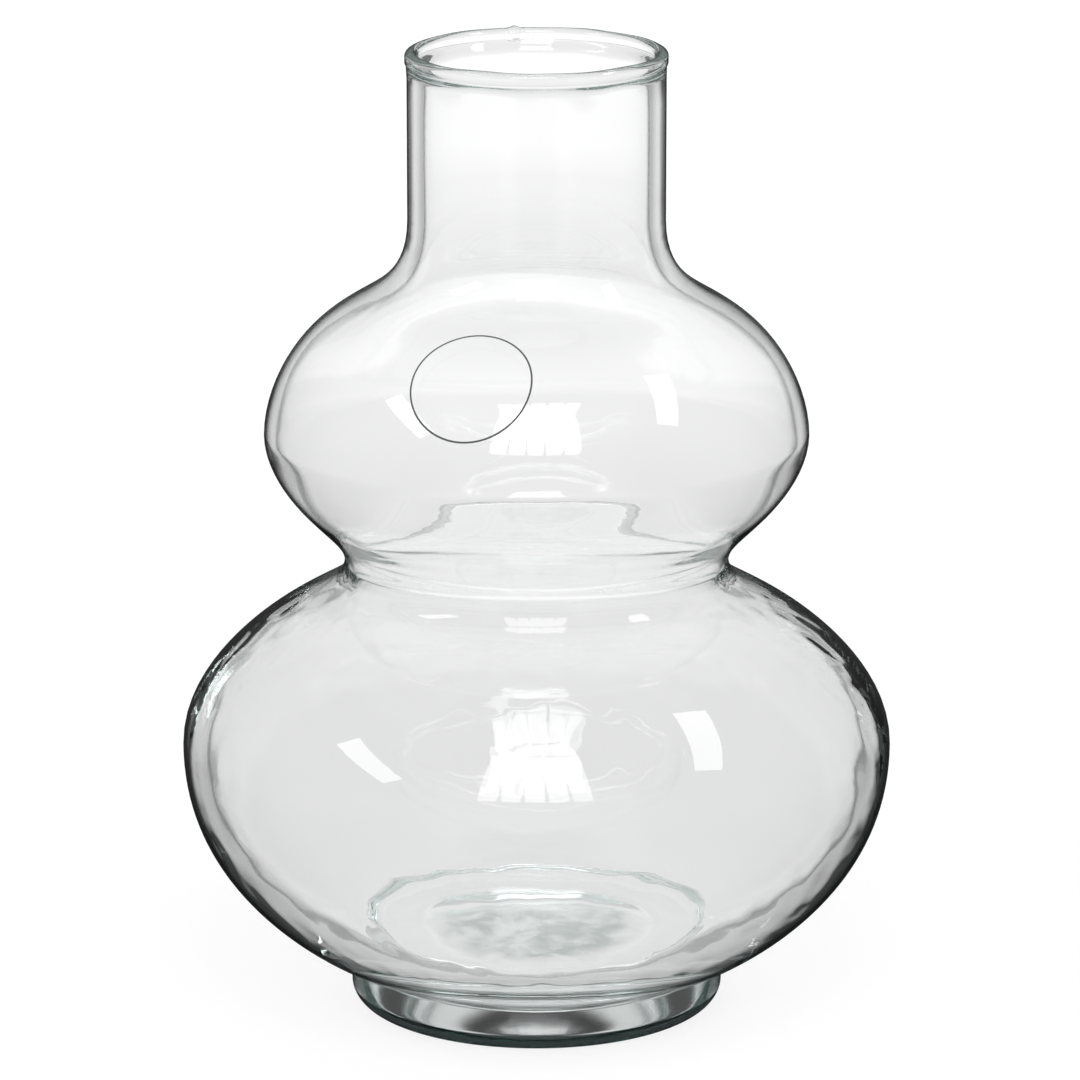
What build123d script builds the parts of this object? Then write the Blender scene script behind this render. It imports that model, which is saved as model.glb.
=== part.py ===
from build123d import *
import os

# A double gourd vase of clear hand-blown glass: two squat bulbs, a straight neck, an applied foot, a lip
# wrapped round the mouth, and a round clear label on the upper bulb.
# Millimetres, +Z up. The origin is on the surface that the vase stands on, under its axis, and -Y is the front.

# Heights of the stretches of the vase, stacked from the foot to the lip
foot_height = 12.5
lower_belly_height = 59.5  # foot to the lower bulb's equator
lower_crown_height = 50.6  # on to the waist
upper_belly_height = 34.4  # on to the upper bulb's equator
upper_crown_height = 58.0  # on to the foot of the neck
neck_length = 41.2
lip_height = 3.8

# Outer radii
lower_radius = 94.9
waist_radius = 51.2
upper_radius = 72.4
neck_radius = 34.1

# Wall of the body at each of those, and over the foot, where the glass settled while it was blown
lower_wall = 6.0
waist_wall = 3.0
upper_wall = 3.4
neck_wall = 4.4
floor_thickness = 7.5
floor_radius = 44.0  # of the flat floor inside

# Handles of the curve along each stretch, as shares of its width and height from its start to its end.
# A crown or belly starts upright at its equator, and the lower belly starts at the foot.
lower_belly_shares = ((0.20, 0.04), (0.66, 0.25), (1, 0.54))
lower_crown_shares = ((0, 0.44), (0.54, 0.63), (0.54, 0.79), (1, 0.79))
upper_belly_shares = ((0, 0.31), (0.48, 0.70), (0.96, 0.72), (1, 0.95))
upper_crown_shares = ((0, 0.29), (0.37, 0.63), (0.62, 0.63), (1, 0.63))
inner_lower_belly_shares = ((0.32, 0), (0.68, 0.29), (1, 0.52))
inner_lower_crown_shares = ((0, 0.35), (0.37, 0.54), (0.71, 0.89), (1, 0.67))
inner_upper_belly_shares = ((0, 0.14), (0.28, 0.67), (0.87, 0.66), (1, 0.80))
inner_upper_crown_shares = ((0, 0.03), (0.04, 0.56), (0.56, 0.56), (1, 0.56))
flare_shares = ((0, 0.5), (1, 0.5))

# Foot: a solid disc with a rounded edge, ground flat below round a shallow polished hollow
foot_radius = 50.0
foot_tuck = 1.2  # of the side, from its widest to its top
foot_edge_radius = 5.5
bearing_width = 11.5  # of the ground ring
hollow_depth = 2.5
seat_overhang = 1.2  # of the body past the top of the foot

# Lip: a slim bead, flush with the flared mouth and a little proud outside, with the drop where its thread ends
lip_overhang = 0.4
lip_width = 3.1
lip_crest_fillet = 1.4
lip_heel_fillet = 0.8
flare_height = 3.0  # of the bore's spread below the lip
drop_radius = 2.2
drop_height = 0.7  # above the crest
drop_inset = 0.8  # from the bead's middle towards the mouth
drop_bearing = 100.7  # degrees from +X towards +Y

# Label: adhesive, film and a printed ring, one on the other
label_radius = 17.0
label_bearing = 253.6  # degrees from +X towards +Y
label_rise_share = 0.416  # of the way along the upper crown
adhesive_thickness = 0.04
film_thickness = 0.1
print_thickness = 0.03
ring_radius = 15.9
ring_width = 0.45
layer_clearance = 0.05  # between the glass and each layer of the label

# Heights and radii that follow from those above
floor_height = foot_height + floor_thickness
lower_equator_height = foot_height + lower_belly_height
waist_height = lower_equator_height + lower_crown_height
upper_equator_height = waist_height + upper_belly_height
neck_foot_height = upper_equator_height + upper_crown_height
neck_top = neck_foot_height + neck_length
vase_height = neck_top + lip_height
foot_top_radius = foot_radius - foot_tuck
seat_radius = foot_top_radius + seat_overhang
hollow_radius = foot_radius - foot_edge_radius - bearing_width
bore_radius = neck_radius - neck_wall
lip_radius = neck_radius + lip_overhang
mouth_radius = lip_radius - lip_width

# Points of the body's half section, outside and inside
seat = Vector(seat_radius, foot_height)
lower_equator = Vector(lower_radius, lower_equator_height)
waist = Vector(waist_radius, waist_height)
upper_equator = Vector(upper_radius, upper_equator_height)
neck_foot = Vector(neck_radius, neck_foot_height)
floor_edge = Vector(floor_radius, floor_height)
inner_lower_equator = Vector(lower_radius - lower_wall, lower_equator_height)
throat = Vector(waist_radius - waist_wall, waist_height)
inner_upper_equator = Vector(upper_radius - upper_wall, upper_equator_height)
bore_foot = Vector(bore_radius, neck_foot_height)
bore_top = Vector(bore_radius, neck_top - flare_height)
mouth_edge = Vector(mouth_radius, neck_top)


def swell(start, end, shares):
    """A smooth curve from start to end, with each handle at its shares of the way out and up."""
    way = end - start
    handles = [start + Vector(out * way.X, up * way.Y) for out, up in shares]
    return Bezier(start, *handles, end)


# Body: one wall, from its seat on the foot up the outside, over the neck's flat end and down the inside
with BuildPart() as vessel_body:
    with BuildSketch(Plane.XZ):
        with BuildLine():
            Line((0, foot_height), seat)
            swell(seat, lower_equator, lower_belly_shares)
            swell(lower_equator, waist, lower_crown_shares)
            swell(upper_equator, waist, upper_belly_shares)
            swell(upper_equator, neck_foot, upper_crown_shares)
            Polyline(neck_foot, (neck_radius, neck_top), mouth_edge)
            swell(bore_top, mouth_edge, flare_shares)
            Line(bore_top, bore_foot)
            swell(inner_upper_equator, bore_foot, inner_upper_crown_shares)
            swell(inner_upper_equator, throat, inner_upper_belly_shares)
            swell(inner_lower_equator, throat, inner_lower_crown_shares)
            swell(floor_edge, inner_lower_equator, inner_lower_belly_shares)
            Polyline(floor_edge, (0, floor_height), (0, foot_height))
        make_face()
    revolve(axis=Axis.Z)

# Foot: its flat top carries the body's seat
with BuildPart() as foot:
    with BuildSketch(Plane.XZ):
        with BuildLine():
            edge = JernArc((foot_radius - foot_edge_radius, 0), (1, 0), foot_edge_radius, 90)
            side = TangentArc(edge @ 1, (foot_top_radius, foot_height), tangent=edge % 1)
            Polyline(side @ 1, (0, foot_height), (0, hollow_depth))
            dome = TangentArc((0, hollow_depth), (hollow_radius, 0), tangent=(1, 0))
            Line(dome @ 1, edge @ 0)
        make_face()
    revolve(axis=Axis.Z)

# Lip: a bead on the neck's flat end, with the drop sunk in its crest
with BuildPart() as lip_wrap:
    with BuildSketch(Plane.XZ) as bead:
        with Locations(mouth_edge):
            Rectangle(lip_width, lip_height, align=Align.MIN)
        fillet(bead.vertices().group_by(Axis.Y)[-1], radius=lip_crest_fillet)
        fillet(bead.vertices().group_by(Axis.Y)[0].sort_by(Axis.X)[-1], radius=lip_heel_fillet)
    revolve(axis=Axis.Z)
    with PolarLocations((lip_radius + mouth_radius) / 2 - drop_inset, 1, start_angle=drop_bearing):
        with Locations((0, 0, vase_height + drop_height - drop_radius)):
            Sphere(drop_radius)

# Label: its place and lean on the upper crown, in the half section and then in space
crown = swell(upper_equator, neck_foot, upper_crown_shares)
label_middle = crown @ label_rise_share
climb = crown % label_rise_share
lean = Vector(climb.Y, -climb.X)
label_out = Vector(1, 0, 0).rotate(Axis.Z, label_bearing)
label_up = Vector(0, 0, 1)
label_plane = Plane(
    origin=label_out * label_middle.X + label_up * label_middle.Y,
    z_dir=label_out * lean.X + label_up * lean.Y,
)

# Lift of each layer off the glass
adhesive_lift = layer_clearance
film_lift = adhesive_lift + adhesive_thickness + layer_clearance
print_lift = film_lift + film_thickness + layer_clearance


def layer_outline(lift, thickness):
    """The half section of a thin layer all over the upper crown, lifted off it along the label's lean."""
    bottom = [point + lean * lift for point in (upper_equator, neck_foot)]
    top = [point + lean * (lift + thickness) for point in (upper_equator, neck_foot)]
    for start, end in (bottom, top):
        swell(start, end, upper_crown_shares)
    for low, high in zip(bottom, top):
        Line(low, high)


# Each layer is trimmed square to the glass at the label's middle
with BuildPart() as label_adhesive:
    with BuildSketch(Plane.XZ):
        with BuildLine():
            layer_outline(adhesive_lift, adhesive_thickness)
        make_face()
    revolve(axis=Axis.Z)
    with BuildSketch(label_plane):
        Circle(label_radius)
    extrude(amount=label_radius, both=True, mode=Mode.INTERSECT)

with BuildPart() as label_film:
    with BuildSketch(Plane.XZ):
        with BuildLine():
            layer_outline(film_lift, film_thickness)
        make_face()
    revolve(axis=Axis.Z)
    with BuildSketch(label_plane):
        Circle(label_radius)
    extrude(amount=label_radius, both=True, mode=Mode.INTERSECT)

with BuildPart() as label_print:
    with BuildSketch(Plane.XZ):
        with BuildLine():
            layer_outline(print_lift, print_thickness)
        make_face()
    revolve(axis=Axis.Z)
    with BuildSketch(label_plane):
        Circle(ring_radius + ring_width / 2)
        Circle(ring_radius - ring_width / 2, mode=Mode.SUBTRACT)
    extrude(amount=label_radius, both=True, mode=Mode.INTERSECT)

# Each piece is written to its own file
os.makedirs("parts", exist_ok=True)
pieces = {
    "vessel_body": vessel_body,
    "foot": foot,
    "lip_wrap": lip_wrap,
    "label_adhesive": label_adhesive,
    "label_film": label_film,
    "label_print": label_print,
}
for name, piece in pieces.items():
    piece.part.label = name
    export_step(piece.part, f"parts/{name}.step")
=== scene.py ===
import math

import bpy
import numpy as np
from mathutils import Matrix


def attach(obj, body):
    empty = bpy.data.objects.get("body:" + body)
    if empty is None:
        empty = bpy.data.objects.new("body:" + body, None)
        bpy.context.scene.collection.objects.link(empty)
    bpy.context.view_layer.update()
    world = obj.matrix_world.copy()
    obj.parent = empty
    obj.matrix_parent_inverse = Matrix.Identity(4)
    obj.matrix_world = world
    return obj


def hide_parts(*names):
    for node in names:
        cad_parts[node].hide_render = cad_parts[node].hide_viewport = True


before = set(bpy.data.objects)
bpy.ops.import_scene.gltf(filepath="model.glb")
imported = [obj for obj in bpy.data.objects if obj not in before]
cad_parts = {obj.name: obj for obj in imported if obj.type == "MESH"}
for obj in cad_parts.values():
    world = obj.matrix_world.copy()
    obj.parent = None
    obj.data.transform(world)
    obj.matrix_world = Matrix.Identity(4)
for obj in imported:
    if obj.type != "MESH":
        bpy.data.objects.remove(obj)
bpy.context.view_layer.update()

mm = 0.001


# Helpers

def linearColour(code):
    # sRGB hex to linear red, green, blue, alpha
    parts = np.array([int(code[k:k + 2], 16) for k in (1, 3, 5)]) / 255
    linear = np.where(parts <= 0.04045, parts / 12.92, ((parts + 0.055) / 1.055) ** 2.4)
    return (*linear.tolist(), 1.0)


white = linearColour("#ffffff")


def addNode(tree, kind, inputs=None, stops=None, **settings):
    # one node: settings are its own fields, inputs are values or other nodes' outputs, stops are a ramp's grey levels
    # a Mix node takes its factor at 0, numbers at 2 and 3 and colours at 6 and 7, and gives the colour at output 2
    node = tree.nodes.new(kind)
    for key, value in settings.items():
        setattr(node, key, value)
    if stops:
        band = node.color_ramp.elements
        while len(band) < len(stops):
            band.new(0.5)
        for element, (place, level) in zip(band, stops):
            element.position, element.color = place, (level, level, level, 1)
    for key, value in (inputs or {}).items():
        if isinstance(value, bpy.types.NodeSocket):
            tree.links.new(value, node.inputs[key])
        else:
            node.inputs[key].default_value = value
    return node


def emptyTree(owner):
    owner.use_nodes = True
    owner.node_tree.nodes.clear()
    return owner.node_tree


def newMaterial(name):
    material = bpy.data.materials.new(name)
    return material, emptyTree(material)


def gridMesh(name, points, poleFirst=False, poleLast=False, closedAlong=False):
    # points is rows x columns x 3; columns join round, rows join when closedAlong, and a pole row is one vertex
    rows, columns, _ = points.shape
    index = np.arange(rows * columns).reshape(rows, columns)
    low, high = (index, np.roll(index, -1, axis=0)) if closedAlong else (index[:-1], index[1:])
    quads = np.stack([low, np.roll(low, -1, axis=1), np.roll(high, -1, axis=1), high], axis=-1)
    keep = np.arange(rows * columns)
    if poleFirst:
        keep[index[0]] = index[0, 0]
    if poleLast:
        keep[index[-1]] = index[-1, 0]
    used, number = np.unique(keep, return_inverse=True)
    quads = number.reshape(-1)[quads]
    faces = quads[int(poleFirst):len(quads) - int(poleLast)].reshape(-1, 4).tolist()
    if poleFirst:
        faces = quads[0][:, [0, 2, 3]].tolist() + faces  # triangles round the pole
    if poleLast:
        faces = faces + quads[-1][:, :3].tolist()
    mesh = bpy.data.meshes.new(name)
    mesh.from_pydata(points.reshape(-1, 3)[used].tolist(), [], faces)
    mesh.polygons.foreach_set("use_smooth", np.ones(len(faces), bool))
    mesh.update()
    item = bpy.data.objects.new(name, mesh)
    bpy.context.scene.collection.objects.link(item)
    return item


def swell(start, end, shares, steps):
    # Bezier stretch: Bernstein weights times handles that stand at shares of the way from start to end
    t = np.linspace(0, 1, steps + 1)[:, None]
    handles = np.array([(0, 0), *shares, (1, 1)], float)
    order = len(handles) - 1
    k = np.arange(order + 1)
    weights = np.array([math.comb(order, n) for n in k]) * t**k * (1 - t) ** (order - k)
    return np.array(start) + weights @ handles * (np.array(end) - np.array(start))


def straight(start, end, steps):
    return np.linspace(start, end, steps + 1)


def bend(centre, radius, first, last, steps):
    # circular arc in the half section, angles in degrees from the outward direction
    angle = np.radians(np.linspace(first, last, steps + 1))
    return np.array(centre) + radius * np.stack([np.cos(angle), np.sin(angle)], axis=-1)


def handWaves(turn, way, girth, lengths, count, seed):
    # sum of cosines with crests at random slants; whole waves round the axis, so the seam closes
    draw = np.random.default_rng(seed)
    length = draw.uniform(*lengths, count)
    slant = draw.uniform(0, 2 * math.pi, count)
    phase = draw.uniform(0, 2 * math.pi, count)
    roundWaves = np.rint(girth * np.cos(slant) / length)
    alongWaves = 2 * math.pi * np.sin(slant) / length
    angle = turn[:, :, None] * roundWaves + way[:, :, None] * alongWaves + phase
    return np.cos(angle).sum(axis=-1) * math.sqrt(2 / count)


# Vase: one closed skin of glass, as the foot and the lip were fused on hot

vase = {  # millimetres, and degrees from +X towards +Y
    "footHeight": 12.5, "lowerEquator": 72.0, "waistHeight": 122.6, "upperEquator": 157.0,
    "neckFoot": 215.0, "neckTop": 256.2, "lipTop": 260.0,
    "lowerRadius": 94.9, "waistRadius": 51.2, "upperRadius": 72.4, "neckRadius": 34.1,
    "lowerWall": 6.0, "waistWall": 3.0, "upperWall": 3.4, "neckWall": 4.4,
    "floorHeight": 20.0, "floorRadius": 44.0,
    "footRadius": 50.0, "footTuck": 1.2, "footEdge": 5.5, "bearing": 11.5, "hollow": 2.5, "seatOverhang": 1.2,
    "creaseDepth": 1.6, "creaseRise": 0.15,
    "lipOverhang": 0.4, "lipWidth": 3.1, "lipCrest": 1.4, "lipHeel": 0.8, "lipRunIn": 4.0,
    "flareBase": 3.0, "flareRise": 2.0,
    "dropBearing": 100.7, "dropHeight": 0.7, "dropRadius": 2.2, "dropInset": 0.8,
    "roundSteps": 256,
}
# handles of each stretch, as shares of its width and height from its start to its end
lowerBelly = ((0.20, 0.04), (0.66, 0.25), (1, 0.54))
lowerCrown = ((0, 0.44), (0.54, 0.63), (0.54, 0.79), (1, 0.79))
upperBelly = ((0, 0.31), (0.48, 0.70), (0.96, 0.72), (1, 0.95))
upperCrown = ((0, 0.29), (0.37, 0.63), (0.62, 0.63), (1, 0.63))
innerLowerBelly = ((0.32, 0), (0.68, 0.29), (1, 0.52))
innerLowerCrown = ((0, 0.35), (0.37, 0.54), (0.71, 0.89), (1, 0.67))
innerUpperBelly = ((0, 0.14), (0.28, 0.67), (0.87, 0.66), (1, 0.80))
innerUpperCrown = ((0, 0.03), (0.04, 0.56), (0.56, 0.56), (1, 0.56))
flare = ((0, 0.5), (1, 0.5))
groundRadius = vase["footRadius"] - vase["footEdge"]  # of the flat ring that the foot stands on
hollowRadius = groundRadius - vase["bearing"]


def vaseSection():
    # half section as (radius, height), from under the foot, up the outside and down the inside; each stretch ends
    # with its number of steps
    v = vase
    footTop = v["footRadius"] - v["footTuck"]
    seat = (footTop + v["seatOverhang"], v["footHeight"])
    crease = (footTop - v["creaseDepth"], v["footHeight"] + v["creaseRise"])
    lower, waist = (v["lowerRadius"], v["lowerEquator"]), (v["waistRadius"], v["waistHeight"])
    upper, neck = (v["upperRadius"], v["upperEquator"]), (v["neckRadius"], v["neckFoot"])
    neckEnd, lipStart = (v["neckRadius"], v["neckTop"]), (v["neckRadius"], v["neckTop"] - v["lipRunIn"])
    inLower = (v["lowerRadius"] - v["lowerWall"], v["lowerEquator"])
    inWaist = (v["waistRadius"] - v["waistWall"], v["waistHeight"])
    inUpper = (v["upperRadius"] - v["upperWall"], v["upperEquator"])
    bore = v["neckRadius"] - v["neckWall"]
    lip = v["neckRadius"] + v["lipOverhang"]
    mouth = lip - v["lipWidth"]
    boreTop, flareTop = (bore, v["neckTop"] - v["flareBase"]), (mouth, v["neckTop"] + v["flareRise"])
    crest, heel = v["lipCrest"], v["lipHeel"]
    floorEdge = (v["floorRadius"], v["floorHeight"])
    outside = [
        swell((0, v["hollow"]), (hollowRadius, 0), ((0.5, 0),), 32),
        straight((hollowRadius, 0), (groundRadius, 0), 3),
        bend((groundRadius, v["footEdge"]), v["footEdge"], -90, 0, 14),
        swell((v["footRadius"], v["footEdge"]), (footTop, v["footHeight"]), ((0, 0.5),), 6),
        straight((footTop, v["footHeight"]), crease, 3),
        straight(crease, seat, 3),
        swell(seat, lower, lowerBelly, 40),
        swell(lower, waist, lowerCrown, 30),
        swell(upper, waist, upperBelly, 26)[::-1],
        swell(upper, neck, upperCrown, 30),
        straight(neck, lipStart, 5),
        straight(lipStart, neckEnd, 6),
        bend((lip - heel, v["neckTop"] + heel), heel, -60, 0, 4),
        bend((lip - crest, v["lipTop"] - crest), crest, 0, 90, 8),
        bend((mouth + crest, v["lipTop"] - crest), crest, 90, 180, 8),
    ]
    inside = [
        swell(boreTop, flareTop, flare, 14)[::-1],
        straight(boreTop, (bore, v["neckFoot"]), 6),
        swell(inUpper, (bore, v["neckFoot"]), innerUpperCrown, 28)[::-1],
        swell(inUpper, inWaist, innerUpperBelly, 26),
        swell(inLower, inWaist, innerLowerCrown, 30)[::-1],
        swell(floorEdge, inLower, innerLowerBelly, 36)[::-1],
        straight(floorEdge, (0, v["floorHeight"]), 20),
    ]
    section = np.concatenate(outside + inside)
    rows = sum(len(part) for part in outside)
    apart = np.concatenate([[True], np.linalg.norm(np.diff(section, axis=0), axis=1) > 1e-6])
    isInside = np.arange(len(section)) >= rows
    return section[apart], isInside[apart]


uneven = {  # millimetres; heights of waves are their spread, lengths are from crest to crest
    "girth": 160 * math.pi,
    "swell": 0.1, "swellLengths": (60, 140), "swellCount": 10, "swellSeed": 3,
    "rippleLengths": (6, 14), "rippleCount": 36, "rippleSeed": 5,
    "ripple": 0.003, "rippleBowl": 0.018, "rippleCrown": 0.022, "crownHeight": 96, "crownSpread": 14,
    "lip": 0.07, "lipLengths": (14, 45), "lipCount": 9, "lipSeed": 12, "lipFadeIn": 3.5,
    "floorFadeIn": 20, "neckFadeOut": 30, "waistClear": 14, "waistFadeIn": 14, "bowlFadeIn": 25,
}


def fadeIn(distance, length):
    return np.clip(distance / length, 0, 1)


def unevenWall(turn, way, height, isInside):
    # the inner wall is uneven: long swells, and short ripples where the bubble met the mould
    u = uneven
    belly = fadeIn(height - vase["floorHeight"], u["floorFadeIn"]) * isInside
    belly = belly * fadeIn(vase["neckFoot"] - height, u["neckFadeOut"])
    offWaist = fadeIn(np.abs(height - vase["waistHeight"]) - u["waistClear"], u["waistFadeIn"])
    bowl = belly * fadeIn(vase["waistHeight"] - height, u["bowlFadeIn"])
    crown = np.exp(-(((height - u["crownHeight"]) / u["crownSpread"]) ** 2))
    ripple = (u["ripple"] + u["rippleBowl"] * bowl + u["rippleCrown"] * crown) * isInside
    swells = handWaves(turn, way, u["girth"], u["swellLengths"], u["swellCount"], u["swellSeed"])
    ripples = handWaves(turn, way, u["girth"], u["rippleLengths"], u["rippleCount"], u["rippleSeed"])
    return (belly * offWaist)[:, None] * u["swell"] * swells + ripple[:, None] * ripples


def lipDrop(turn, section, outward):
    # how far a ball sunk in the lip at its bearing stands out of the section, along the section's own outward way
    size = vase["dropRadius"]
    off = np.angle(np.exp(1j * (turn - math.radians(vase["dropBearing"]))))[None, :] * vase["neckRadius"]
    middle = vase["neckRadius"] + vase["lipOverhang"] - vase["lipWidth"] / 2 - vase["dropInset"]
    aside, above = section[:, :1] - middle, section[:, 1:] - (vase["lipTop"] + vase["dropHeight"] - size)
    lead = outward[:, :1] * aside + outward[:, 1:] * above
    under = lead**2 - aside**2 - above**2 - off**2 + size**2
    bead = np.where(under > 0, np.sqrt(np.clip(under, 0, None)) - lead, 0)
    return np.clip(bead, 0, None) * (section[:, 1:] > vase["neckTop"])


def makeVase():
    section, isInside = vaseSection()
    turn = np.linspace(0, 2 * math.pi, vase["roundSteps"], endpoint=False)
    way = np.concatenate([[0], np.cumsum(np.linalg.norm(np.diff(section, axis=0), axis=1))])
    turnGrid, wayGrid = np.broadcast_arrays(turn[None, :], way[:, None])
    ahead = np.gradient(section, axis=0)
    ahead /= np.linalg.norm(ahead, axis=1, keepdims=True)
    outward = np.stack([ahead[:, 1], -ahead[:, 0]], axis=-1)  # out of the glass on both sides of the wall
    height = section[:, 1]
    lift = unevenWall(turnGrid, wayGrid, height, isInside) + lipDrop(turn, section, outward)
    # the thread was laid by hand, so the lip swells and thins a little on its way round
    onLip = fadeIn(height - vase["neckTop"] + vase["lipRunIn"], uneven["lipFadeIn"])
    onLip = onLip**2 * (3 - 2 * onLip)
    thread = handWaves(turnGrid, wayGrid, 2 * math.pi * vase["neckRadius"],
                       uneven["lipLengths"], uneven["lipCount"], uneven["lipSeed"])
    lift = lift + uneven["lip"] * onLip[:, None] * thread
    radius = section[:, :1] + outward[:, :1] * lift
    level = section[:, 1:] + outward[:, 1:] * lift
    radius[[0, -1]] = 0
    points = np.stack([radius * np.cos(turn), radius * np.sin(turn), level], axis=-1) * mm
    return gridMesh("glassVase", points, poleFirst=True, poleLast=True)


# Soda-lime glass from cullet, blown and fire-polished: clear, smooth and wet-looking, faintly green-grey where thick.
# Its colour is painted dark where the skin turns away from the eye, a painted shade for the dark outline that dark
# surroundings give clear glass
clearGlass = {"ior": 1.5, "roughness": 0.0, "tint": "#86c4b8", "density": 1.2,
              "edge": "#2c3130", "edgeFrom": 0.76, "edgeAt": 0.86}


def finishGlass(tree, colour, roughness):
    # surface and tinge of every glass here
    skin = addNode(tree, "ShaderNodeBsdfPrincipled", {
        "Base Color": colour, "Transmission Weight": 1.0, "IOR": clearGlass["ior"], "Roughness": roughness})
    tinge = addNode(tree, "ShaderNodeVolumeAbsorption", {
        "Color": linearColour(clearGlass["tint"]), "Density": clearGlass["density"]})
    addNode(tree, "ShaderNodeOutputMaterial", {"Surface": skin.outputs[0], "Volume": tinge.outputs[0]})


def makeClearGlass():
    material, tree = newMaterial("sodaLimeGlassBlown")
    c = clearGlass
    graze = addNode(tree, "ShaderNodeLayerWeight", {"Blend": 0.5}).outputs["Facing"]
    # painted edge shade: the glass's colour darkens towards near black as the skin turns away from the eye
    edge = addNode(tree, "ShaderNodeMapRange", {
        "Value": graze, "From Min": c["edgeFrom"], "From Max": c["edgeAt"]}).outputs[0]
    body = addNode(tree, "ShaderNodeMix", {0: edge, 6: white, 7: linearColour(c["edge"])}, data_type="RGBA")
    finishGlass(tree, body.outputs[2], c["roughness"])
    return material


# The same glass in the hollow, where the iron was cracked off: dull, with grey blotches that fade towards its rim
crackedGlass = {"roughness": 0.06, "light": "#d6dcda", "dark": "#8a9692",
                "blotch": 7.0, "detail": 3.0, "cloudFrom": 0.36, "cloudTo": 0.62, "clearFrom": 23.0, "clearAt": 32.0}


def makeCrackedGlass():
    material, tree = newMaterial("sodaLimeGlassCracked")
    c = crackedGlass
    place = addNode(tree, "ShaderNodeTexCoord").outputs["Object"]
    cloud = addNode(tree, "ShaderNodeTexNoise", {
        "Vector": place, "Scale": 1 / (c["blotch"] * mm), "Detail": c["detail"]}).outputs[0]
    cloud = addNode(tree, "ShaderNodeMapRange", {
        "Value": cloud, "From Min": c["cloudFrom"], "From Max": c["cloudTo"]}).outputs[0]
    reach = addNode(tree, "ShaderNodeVectorMath", {0: place}, operation="LENGTH").outputs["Value"]
    rim = addNode(tree, "ShaderNodeMapRange", {
        "Value": reach, "From Min": c["clearFrom"] * mm, "From Max": c["clearAt"] * mm}).outputs[0]
    body = addNode(tree, "ShaderNodeMix", {
        0: cloud, 6: linearColour(c["light"]), 7: linearColour(c["dark"])}, data_type="RGBA").outputs[2]
    body = addNode(tree, "ShaderNodeMix", {0: rim, 6: body, 7: white}, data_type="RGBA").outputs[2]
    finishGlass(tree, body, c["roughness"])
    return material


# The same glass where the foot was ground flat: a fine matt ring that lets the floor's light in
groundGlass = {"roughness": 0.2}


def makeGroundGlass():
    material, tree = newMaterial("sodaLimeGlassGround")
    finishGlass(tree, white, groundGlass["roughness"])
    return material


# The same glass on the foot's rounded edge, smooth and glossy, its colour painted near black for light that comes in
# from outside: a painted shade for the dark line that its surroundings give the foot's edge
paintedFootShade = {"colour": "#15191a", "top": 4.9}


def makePaintedFootShade():
    material, tree = newMaterial("sodaLimeGlassPaintedFootShade")
    within = addNode(tree, "ShaderNodeNewGeometry").outputs["Backfacing"]  # light inside the foot leaves freely
    # painted shade: near black for light entering the foot's rounded edge from outside
    body = addNode(tree, "ShaderNodeMix", {
        0: within, 6: linearColour(paintedFootShade["colour"]), 7: white}, data_type="RGBA").outputs[2]
    finishGlass(tree, body, clearGlass["roughness"])
    return material


glassVase = makeVase()
for makeGlass in (makeClearGlass, makeCrackedGlass, makeGroundGlass, makePaintedFootShade):
    glassVase.data.materials.append(makeGlass())
centres = np.empty(len(glassVase.data.polygons) * 3)
glassVase.data.polygons.foreach_get("center", centres)
centres = centres.reshape(-1, 3) / mm
reach = np.hypot(centres[:, 0], centres[:, 1])
low = centres[:, 2] < paintedFootShade["top"]
kind = np.select([low & (reach < hollowRadius), low & (reach < groundRadius), low], [1, 2, 3], 0)
glassVase.data.polygons.foreach_set("material_index", kind.astype(np.int32))
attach(glassVase, "root")
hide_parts("vessel_body", "foot", "lip_wrap")
print("glass vase:", len(glassVase.data.polygons), "faces")


# Label: a clear round film on the upper bulb, with a thin printed ring

label = {  # millimetres, and degrees from +X towards +Y; rise is a share of the way along the upper crown
    "radius": 17.0, "bearing": 253.6, "rise": 0.416, "filmLow": 0.05, "filmHigh": 0.24,
    "ringRadius": 15.9, "ringWidth": 0.45, "ringLow": 0.29, "ringHigh": 0.32,
    "roundSteps": 192, "filmRows": 13, "crownSteps": 800,
    "searchLow": -15.0, "searchHigh": 5.0, "searchSteps": 40,
}


def labelPoints(reach, turn, lift):
    # points of the label's disc dropped along its lean onto the crown, found by halving, then lifted off it
    v = vase
    crownEnd = (v["neckRadius"], v["neckFoot"])
    crown = swell((v["upperRadius"], v["upperEquator"]), crownEnd, upperCrown, label["crownSteps"])
    way = np.cumsum(np.linalg.norm(np.diff(crown, axis=0), axis=1))
    k = np.searchsorted(way, label["rise"] * way[-1])
    climb = crown[k + 1] - crown[k - 1]
    climb /= np.linalg.norm(climb)
    bearing = math.radians(label["bearing"])
    out = np.array([math.cos(bearing), math.sin(bearing), 0])
    side = np.array([-math.sin(bearing), math.cos(bearing), 0])
    lean = out * climb[1] - np.array([0, 0, climb[0]])
    up = out * climb[0] + np.array([0, 0, climb[1]])
    flat = out * crown[k, 0] + np.array([0, 0, crown[k, 1]])
    flat = flat + (reach * np.cos(turn))[..., None] * side + (reach * np.sin(turn))[..., None] * up
    low, high = np.full(flat.shape[:2], label["searchLow"]), np.full(flat.shape[:2], label["searchHigh"])
    for _ in range(label["searchSteps"]):
        middle = (low + high) / 2
        spot = flat + middle[..., None] * lean
        outside = np.hypot(spot[..., 0], spot[..., 1]) > np.interp(spot[..., 2], crown[:, 1], crown[:, 0])
        low, high = np.where(outside, low, middle), np.where(outside, middle, high)
    return (flat + (low + lift)[..., None] * lean) * mm


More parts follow.
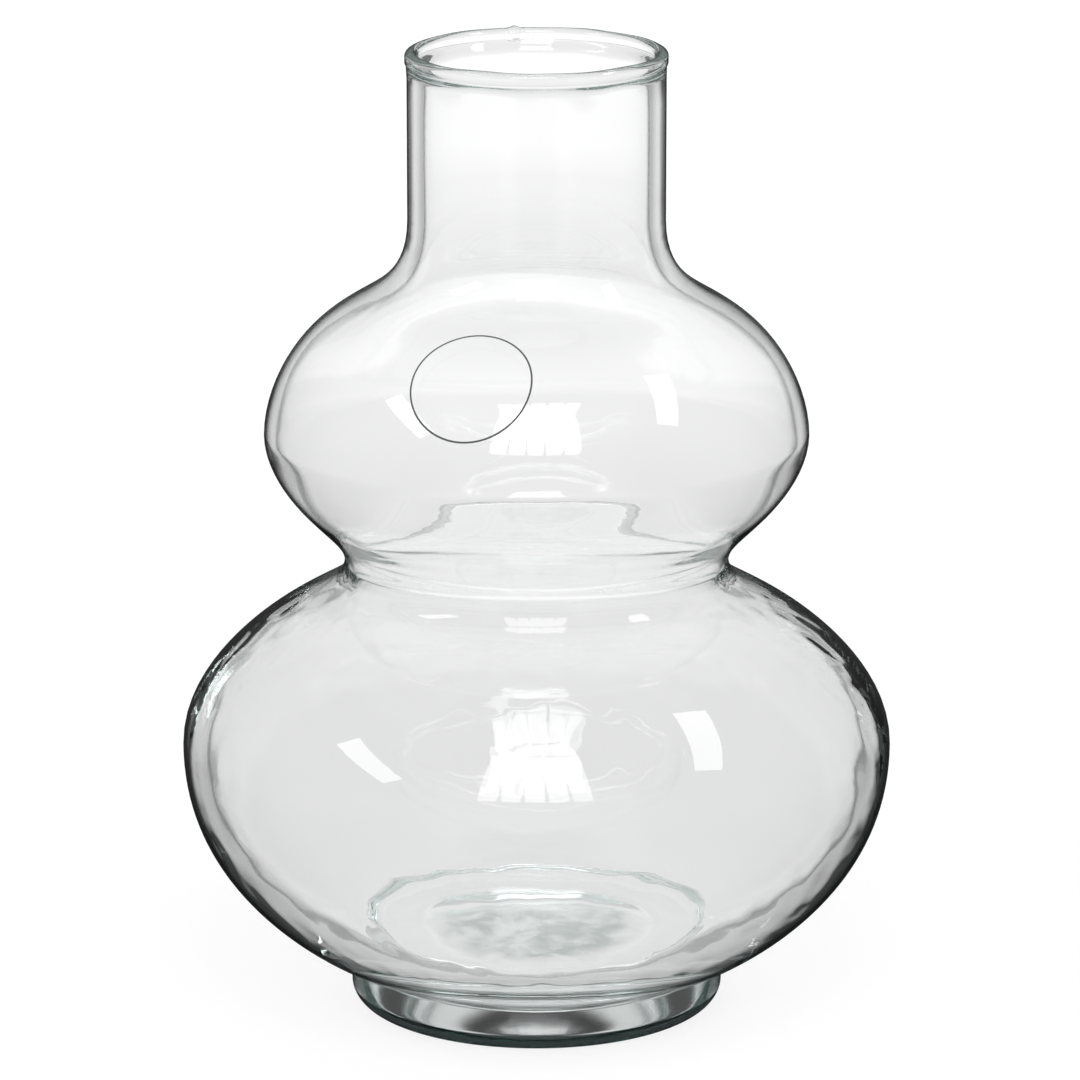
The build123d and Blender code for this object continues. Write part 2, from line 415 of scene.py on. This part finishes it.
def makeLabel():
    turn = np.linspace(0, 2 * math.pi, label["roundSteps"], endpoint=False)[None, :]
    rows = np.linspace(0, label["radius"], label["filmRows"])
    reach = np.concatenate([rows, rows[::-1]])[:, None]
    lift = np.repeat([label["filmLow"], label["filmHigh"]], label["filmRows"])[:, None]
    reach, turnGrid, lift = np.broadcast_arrays(reach, turn, lift)
    film = gridMesh("labelFilm", labelPoints(reach, turnGrid, lift), poleFirst=True, poleLast=True)
    half = label["ringWidth"] / 2
    corners = np.array([(-half, label["ringLow"]), (half, label["ringLow"]),
                        (half, label["ringHigh"]), (-half, label["ringHigh"])])
    reach, turnGrid = np.broadcast_arrays(label["ringRadius"] + corners[:, :1], turn)
    lift = np.broadcast_to(corners[:, 1:], reach.shape)
    ring = gridMesh("labelRing", labelPoints(reach, turnGrid, lift), closedAlong=True)
    return film, ring


# Polypropylene film, cast and clear: a faint gloss and hardly any veil
filmSkin = {"colour": "#f4f6f5", "roughness": 0.2, "ior": 1.49, "alpha": 0.02}


def makeFilm():
    material, tree = newMaterial("polypropyleneFilmClear")
    skin = addNode(tree, "ShaderNodeBsdfPrincipled", {
        "Base Color": linearColour(filmSkin["colour"]), "Roughness": filmSkin["roughness"],
        "IOR": filmSkin["ior"], "Alpha": filmSkin["alpha"]})
    addNode(tree, "ShaderNodeOutputMaterial", {"Surface": skin.outputs[0]})
    return material


# Screen ink, printed thin: a matt mid grey
inkSkin = {"colour": "#55585a", "roughness": 0.7, "ior": 1.5}


def makeInk():
    material, tree = newMaterial("screenInkGrey")
    ink = addNode(tree, "ShaderNodeBsdfPrincipled", {
        "Base Color": linearColour(inkSkin["colour"]), "Roughness": inkSkin["roughness"], "IOR": inkSkin["ior"]})
    addNode(tree, "ShaderNodeOutputMaterial", {"Surface": ink.outputs[0]})
    return material


labelFilm, labelRing = makeLabel()
labelFilm.data.materials.append(makeFilm())
labelRing.data.materials.append(makeInk())
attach(labelFilm, "root")
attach(labelRing, "root")
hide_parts("label_film", "label_adhesive")
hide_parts("label_print")
print("label ready")


# Studio: a pale floor that runs out of sight, a white surround, a barred window in front and a softbox on each side.
# Glass shows only what it bends and mirrors, so the floor and the surround have a level for each kind of ray, as
# cards round a real vase would give it.

studio = {  # metres
    "floorRings": (0, 0.1, 0.4, 1.5, 6.0), "floorSteps": 96, "floorDrop": 0.0002, "floorColour": "#7c7c7c",
    "fadeReach": 1.2, "floorOnMatt": 0.6, "surroundOnMatt": 0.5,
    "floorOpen": ((0.25, 0.86), (1.0, 0.97)),  # share of the fade's reach, and level
    # for rays that came through the glass: dimmer out to about a quarter metre round the vase, a painted shadow of
    # the vase on the floor, lighter again farther out
    "floorThrough": ((0.0, 0.9), (0.037, 0.88), (0.047, 0.77), (0.1, 0.71), (0.15, 0.665), (0.22, 0.665),
                     (0.3, 0.7), (0.43, 0.73), (0.58, 0.77), (0.75, 0.81), (0.9, 0.86), (0.97, 0.95)),
    "asideFrom": 0.23, "asideAt": 0.43,  # sideways part of a ray's way
    "dimFrom": 0.5, "dimAt": 0.68, "dimTo": 0.58,
}
surround = {  # half the sine of a ray's rise plus a half, and level
    "passed": ((0.5, 1.0), (0.6, 0.55), (0.72, 0.12)),
    "through": ((0.57, 1.0), (0.65, 0.5)),
    "outer": ((0.3, 0.01), (0.5, 0.06), (0.65, 0.2), (1.0, 0.25)),
    "innerAhead": ((0.0, 0.8), (0.19, 0.7), (0.225, 0.5), (0.25, 0.2), (0.28, 0.02), (0.335, 0.02), (0.38, 0.1),
                   (0.4, 0.25), (0.43, 0.8), (0.5, 0.9), (1.0, 0.8)),
    "innerAside": ((0.0, 0.8), (0.2, 0.62), (0.35, 0.75), (0.4, 1.0), (0.45, 0.9), (0.5, 0.95), (1.0, 0.9)),
    "carried": ((0.0, 0.35), (0.15, 0.3), (0.22, 0.15), (0.36, 0.15), (0.42, 0.35), (0.49, 0.4), (0.515, 0.08)),
    "across": ((0.03, 0.93), (0.12, 0.85), (0.2, 0.82), (0.4, 0.93), (0.475, 1.0), (0.55, 0.68)),
}
rayKinds = {  # the depth that is counted, and what it has to pass
    "diffuse": ("Diffuse Depth", 0.5),  # lights a matt surface
    "mirror": ("Glossy Depth", 0.5),  # came off a surface, outside or inside the glass
    "guided": ("Glossy Depth", 2.5),  # ran along inside a wall
    "entered": ("Transmission Depth", 0.5),  # went into glass
    "crossed": ("Transmission Depth", 3.5),  # went through two walls
}


def sortRays(tree, *kinds):
    # for each kind that is asked for, an output that is 1 where the ray is of that kind
    path = addNode(tree, "ShaderNodeLightPath").outputs
    limits = [rayKinds[kind] for kind in kinds]
    return [addNode(tree, "ShaderNodeMath", {0: path[depth], 1: limit}, operation="GREATER_THAN").outputs[0]
            for depth, limit in limits]


def makeFloor():
    turn = np.linspace(0, 2 * math.pi, studio["floorSteps"], endpoint=False)
    radius = np.array(studio["floorRings"])[:, None]
    flat = np.full((radius * turn).shape, -studio["floorDrop"])
    points = np.stack([radius * np.cos(turn), radius * np.sin(turn), flat], axis=-1)[::-1]
    floor = gridMesh("studioFloor", points, poleLast=True)
    material, tree = newMaterial("paleFloorMatt")
    diffuse, mirror, entered = sortRays(tree, "diffuse", "mirror", "entered")
    place = addNode(tree, "ShaderNodeTexCoord").outputs["Object"]
    reach = addNode(tree, "ShaderNodeVectorMath", {0: place}, operation="LENGTH").outputs["Value"]
    share = addNode(tree, "ShaderNodeMath", {0: reach, 1: studio["fadeReach"]}, operation="DIVIDE").outputs[0]
    bare = addNode(tree, "ShaderNodeValToRGB", {0: share}, studio["floorOpen"]).outputs[0]
    # painted shadow: the floor that the glass shows is dimmer near the vase
    through = addNode(tree, "ShaderNodeValToRGB", {0: share}, studio["floorThrough"]).outputs[0]
    glow = addNode(tree, "ShaderNodeMix", {0: entered, 2: bare, 3: through}).outputs[0]
    glow = addNode(tree, "ShaderNodeMix", {0: diffuse, 2: glow, 3: studio["floorOnMatt"]}).outputs[0]
    matt = addNode(tree, "ShaderNodeBsdfDiffuse", {"Color": linearColour(studio["floorColour"])})
    shine = addNode(tree, "ShaderNodeEmission", {"Color": white, "Strength": glow})
    both = addNode(tree, "ShaderNodeAddShader", {0: matt.outputs[0], 1: shine.outputs[0]})
    # past the ground ring, rays off the glass go through the floor to the surround
    clear = addNode(tree, "ShaderNodeBsdfTransparent", {"Color": white})
    beyond = addNode(tree, "ShaderNodeMath", {0: reach, 1: groundRadius * mm}, operation="GREATER_THAN")
    onward = addNode(tree, "ShaderNodeMath", {0: mirror, 1: beyond.outputs[0]}, operation="MULTIPLY")
    mixed = addNode(tree, "ShaderNodeMixShader", {0: onward.outputs[0], 1: both.outputs[0], 2: clear.outputs[0]})
    addNode(tree, "ShaderNodeOutputMaterial", {"Surface": mixed.outputs[0]})
    floor.data.materials.append(material)


def makeSurround():
    world = bpy.data.worlds.new("whiteSurround")
    bpy.context.scene.world = world
    tree = emptyTree(world)
    diffuse, mirror, entered, crossed, guided = sortRays(tree, "diffuse", "mirror", "entered", "crossed", "guided")
    place = addNode(tree, "ShaderNodeTexCoord").outputs["Generated"]
    way = addNode(tree, "ShaderNodeSeparateXYZ", {0: place}).outputs
    sideways = addNode(tree, "ShaderNodeMath", {0: way["X"]}, operation="ABSOLUTE").outputs[0]
    dim = addNode(tree, "ShaderNodeMapRange", {
        "Value": sideways, "From Min": studio["dimFrom"], "From Max": studio["dimAt"],
        "To Min": 1.0, "To Max": studio["dimTo"]}).outputs[0]
    aside = addNode(tree, "ShaderNodeMapRange", {
        "Value": sideways, "From Min": studio["asideFrom"], "From Max": studio["asideAt"]}).outputs[0]
    share = addNode(tree, "ShaderNodeMath", {0: way["Z"], 1: 0.5, 2: 0.5}, operation="MULTIPLY_ADD").outputs[0]
    glow = {name: addNode(tree, "ShaderNodeValToRGB", {0: share}, stops).outputs[0]
            for name, stops in surround.items()}
    # off an inner wall
    inner = addNode(tree, "ShaderNodeMix", {0: aside, 2: glow["innerAhead"], 3: glow["innerAside"]}).outputs[0]
    inner = addNode(tree, "ShaderNodeMath", {0: inner, 1: dim}, operation="MULTIPLY").outputs[0]
    inner = addNode(tree, "ShaderNodeMix", {0: guided, 2: inner, 3: glow["carried"]}).outputs[0]
    inner = addNode(tree, "ShaderNodeMix", {0: crossed, 2: inner, 3: glow["across"]}).outputs[0]
    mirrored = addNode(tree, "ShaderNodeMix", {0: entered, 2: glow["outer"], 3: inner}).outputs[0]
    # straight on, past the vase or through it
    seen = addNode(tree, "ShaderNodeMix", {0: crossed, 2: glow["passed"], 3: glow["through"]}).outputs[0]
    seen = addNode(tree, "ShaderNodeMix", {0: entered, 2: 1.0, 3: seen}).outputs[0]
    seen = addNode(tree, "ShaderNodeMix", {0: mirror, 2: seen, 3: mirrored}).outputs[0]
    seen = addNode(tree, "ShaderNodeMix", {0: diffuse, 2: seen, 3: studio["surroundOnMatt"]}).outputs[0]
    shine = addNode(tree, "ShaderNodeBackground", {"Color": white, "Strength": seen})
    addNode(tree, "ShaderNodeOutputWorld", {"Surface": shine.outputs[0]})


# lamps: degrees, metres and radiance; azimuth 0 is in front
lampAim = (0.0, 0.0, 0.12)
windowPanes = (-16.5, -8.5, -0.5, 7.5, 15.5)
window = {"elevation": 42, "distance": 1.6, "width": 0.165, "height": 0.95, "radiance": 3.6}
rightSoftbox = {"azimuth": 76, "elevation": 46, "distance": 1.5, "width": 0.85, "height": 0.24, "radiance": 5.0,
                "roll": 50}
leftSoftbox = {"azimuth": -66, "elevation": 38, "distance": 1.5, "width": 0.75, "height": 0.2, "radiance": 5.0,
               "roll": -25}


def addLamp(name, azimuth, elevation, distance, width, height, radiance, roll=0):
    # an area lamp on a sphere round the vase, facing its middle and turned in its own plane by roll
    a, e = math.radians(azimuth), math.radians(elevation)
    data = bpy.data.lights.new(name, "AREA")
    data.shape, data.size, data.size_y = "RECTANGLE", width, height
    data.energy = radiance * math.pi * width * height
    lamp = bpy.data.objects.new(name, data)
    bpy.context.scene.collection.objects.link(lamp)
    away = np.array([math.cos(e) * math.sin(a), -math.cos(e) * math.cos(a), math.sin(e)])
    lamp.location = lampAim + distance * away
    turned = Matrix.Rotation(a, 3, "Z") @ Matrix.Rotation(math.pi / 2 - e, 3, "X")
    turned = turned @ Matrix.Rotation(math.radians(roll), 3, "Z")
    lamp.rotation_euler = turned.to_euler()
    return lamp


makeFloor()
makeSurround()
for k, azimuth in enumerate(windowPanes):
    addLamp(f"frontWindow{k}", azimuth, **window)
addLamp("rightSoftbox", **rightSoftbox).visible_transmission = False  # it shows as a highlight only
addLamp("leftSoftbox", **leftSoftbox).visible_transmission = False
print("studio ready")


# Camera at the photograph's angle

view = {"distance": 1.703, "height": 0.581, "pitch": 14.915, "lens": 220.2, "sensor": 36.0, "shiftX": 0.00315}
camera = bpy.data.cameras.new("camera")
camera.lens, camera.sensor_width, camera.shift_x = view["lens"], view["sensor"], view["shiftX"]
cameraItem = bpy.data.objects.new("camera", camera)
bpy.context.scene.collection.objects.link(cameraItem)
cameraItem.location = (0.0, -view["distance"], view["height"])
cameraItem.rotation_euler = (math.radians(90 - view["pitch"]), 0.0, 0.0)
bpy.context.scene.camera = cameraItem
bpy.context.scene.view_settings.view_transform = "Standard"
bounces = bpy.context.scene.cycles  # light runs far along inside a glass wall before it leaves
bounces.max_bounces, bounces.glossy_bounces, bounces.transmission_bounces = 96, 64, 20
print("camera ready")
